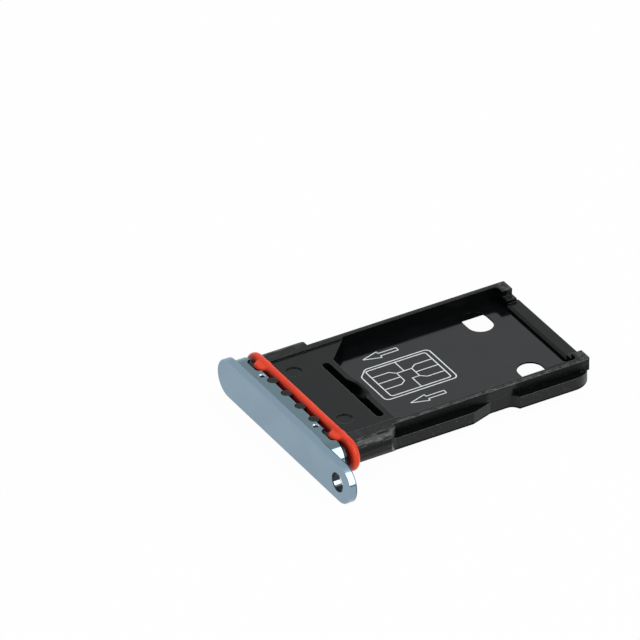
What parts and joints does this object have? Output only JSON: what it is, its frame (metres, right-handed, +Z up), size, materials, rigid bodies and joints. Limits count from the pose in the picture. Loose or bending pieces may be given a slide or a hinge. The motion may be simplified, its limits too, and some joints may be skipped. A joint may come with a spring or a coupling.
{
  "type": "card tray",
  "caption": "Double-sided nano card tray: metal front cap with eject hole, orange seal ring, black frame with a keyed pocket on each face and a thin divider plate.",
  "frame": {"origin": "outer face of the front cap, on the centre line and the mid plane of the tray body", "axes": "+X from the cap towards the tail, the way the tray goes in; +Y across the tray, away from the eject hole; +Z up"},
  "size_m": [0.0191, 0.0152, 0.0024],
  "materials": {
    "cap_metal": "satin blue-grey anodised, with polished edges",
    "seal_rubber": "smooth orange-red silicone",
    "body_plastic": "smooth black moulding",
    "plate_metal": "black mirror-smooth coating"
  },
  "bodies": {
    "root": {"front_cap": "cap_metal", "seal_ring": "seal_rubber", "tray_body": "body_plastic", "divider_plate": "plate_metal"}
  },
  "joints": []
}
